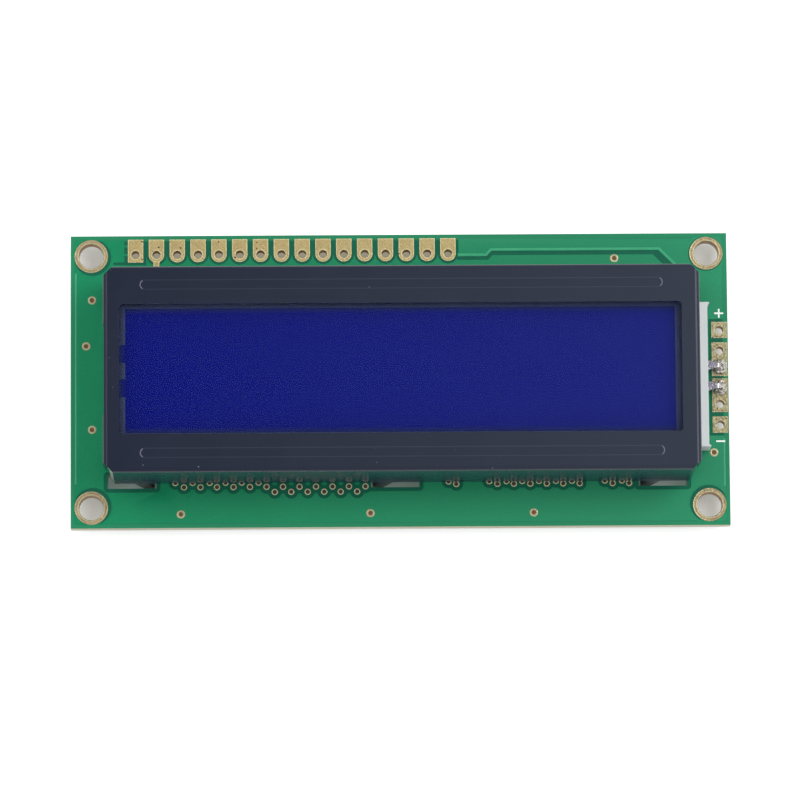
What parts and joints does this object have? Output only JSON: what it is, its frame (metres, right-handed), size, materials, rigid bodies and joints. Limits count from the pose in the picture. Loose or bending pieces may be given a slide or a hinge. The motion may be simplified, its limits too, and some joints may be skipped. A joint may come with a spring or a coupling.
{
  "type": "character lcd module",
  "caption": "Two-row character display module: folded steel bezel over a liquid crystal cell and edge-lit backlight, on a green circuit board with a row of header holes.",
  "frame": {"origin": "centre of the four mounting holes, on the back face of the circuit board", "axes": "+X along the board's length, to the right seen from the front; +Y towards the header; +Z out of the display"},
  "size_m": [0.08, 0.036, 0.0129],
  "materials": {
    "laminate": "glass-epoxy laminate, sawn edges",
    "solder_mask": "green solder mask over copper",
    "plated_copper": "thin plating, slightly pitted",
    "silk": "white printing ink",
    "black_steel": "black painted steel, semi-matt",
    "polariser": "blue film, glossy",
    "glass": "polished",
    "crystal": "sealed liquid film",
    "seal_resin": "cured resin",
    "contact_rubber": "layered conductive rubber",
    "white_frame": "moulded, satin",
    "clear_guide": "clear acrylic",
    "white_sheet": "white film",
    "small_board": "thin green board",
    "lamp_chip": "moulded with phosphor",
    "tinned_lead": "tinned strip",
    "solder": "shiny solder",
    "black_epoxy": "black potting, satin",
    "silicon": "bare chip",
    "black_chip": "glazed",
    "tan_chip": "sintered"
  },
  "bodies": {
    "root": {"circuit_board": "laminate", "front_copper_pour": "solder_mask", "back_copper_pour": "solder_mask", "header_pads": "plated_copper", "mounting_hole_rings": "plated_copper", "backlight_pads": "plated_copper", "contact_fingers": "plated_copper", "silk_marks": "silk", "bezel": "black_steel", "front_polariser": "polariser", "front_glass": "glass", "cell_seal": "seal_resin", "liquid_crystal": "crystal", "port_plug": "seal_resin", "rear_glass": "glass", "rear_polariser": "polariser", "upper_contact_strip": "contact_rubber", "lower_contact_strip": "contact_rubber", "backlight_frame": "white_frame", "reflector_sheet": "white_sheet", "light_guide": "clear_guide", "diffuser_sheet": "white_sheet", "led_board": "small_board", "backlight_leds": "lamp_chip", "backlight_leads": "tinned_lead", "solder_joints": "solder", "controller_blob": "black_epoxy", "driver_blob": "black_epoxy", "chip_dies": "silicon", "chip_resistors": "black_chip", "chip_capacitors": "tan_chip", "chip_terminals": "tinned_lead"}
  },
  "joints": []
}
